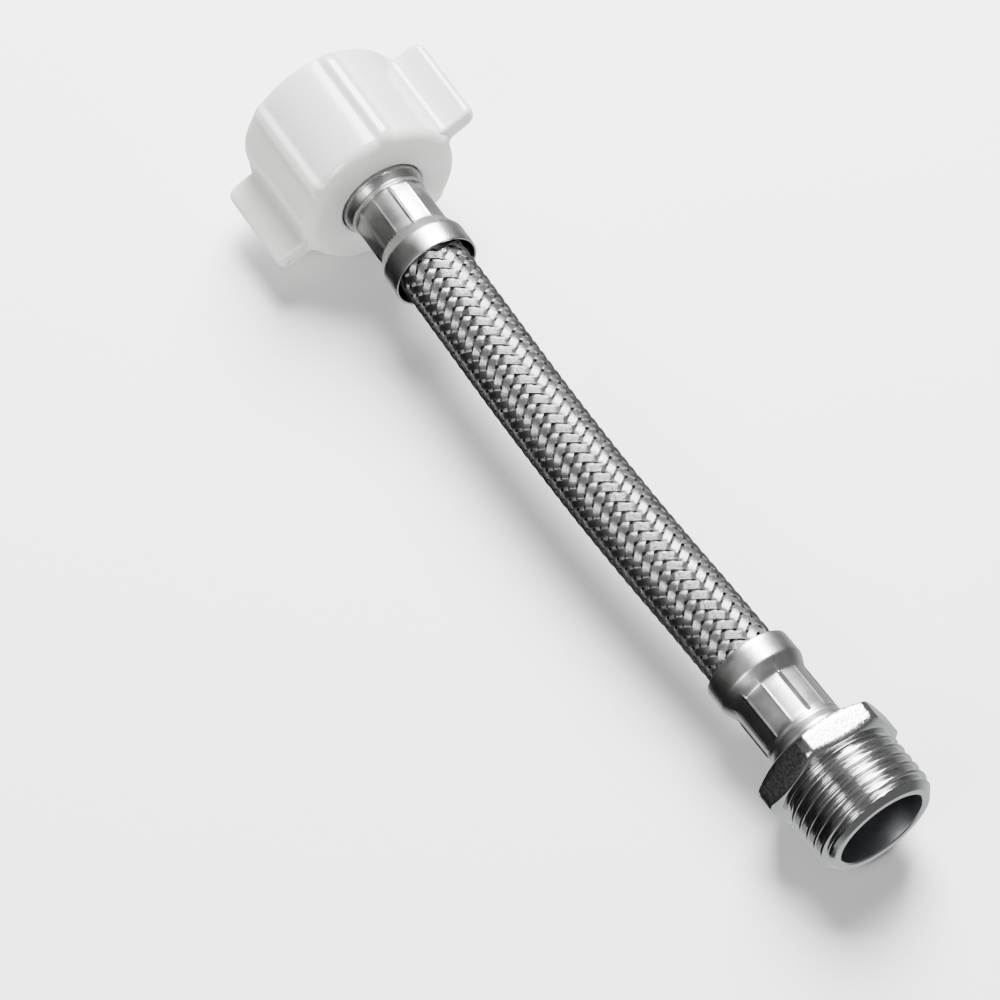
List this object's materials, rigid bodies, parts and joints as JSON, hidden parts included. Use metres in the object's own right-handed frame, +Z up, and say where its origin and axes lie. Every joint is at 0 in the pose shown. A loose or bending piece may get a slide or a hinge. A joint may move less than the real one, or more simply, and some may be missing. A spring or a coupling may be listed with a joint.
{
  "type": "braided toilet supply connector",
  "caption": "Short steel-braided water supply hose with a winged plastic coupling nut on one end and a male pipe-threaded hex adapter on the other.",
  "frame": {"origin": "on the coupling nut's axis, where its inside thread starts", "axes": "+X along the coupling nut's axis from its mouth towards the hose, +Z up with the part lying on its nut and hexagon"},
  "size_m": [0.1626, 0.039, 0.031],
  "materials": {
    "nut_plastic": "moulded acetal, milky white, soft gloss",
    "ring_plastic": "plain nylon",
    "washer_rubber": "moulded rubber, matt",
    "tube_rubber": "extruded rubber, matt",
    "ferrule_steel": "pressed stainless steel, satin",
    "braid_steel": "plaited stainless steel wire, bright",
    "nipple_brass": "turned brass",
    "adapter_nickel": "nickel-plated brass, forged flats, turned thread"
  },
  "bodies": {
    "hose": {"cone_washer": "washer_rubber", "flanged_nipple": "nipple_brass", "nut_end_ferrule": "ferrule_steel", "inner_tube": "tube_rubber", "wire_braid": "braid_steel", "male_end_ferrule": "ferrule_steel", "male_adapter": "adapter_nickel"},
    "ring": {"slip_ring": "ring_plastic"},
    "nut": {"coupling_nut": "nut_plastic"}
  },
  "joints": [
    {"name": "nut_slide", "type": "slide", "parent": "hose", "child": "ring", "axis": [1, 0, 0], "range_m": [0, 0.0128]},
    {"name": "nut_spin", "type": "hinge", "parent": "ring", "child": "nut", "pos_m": [0, 0, 0], "axis": [1, 0, 0], "continuous": true}
  ]
}
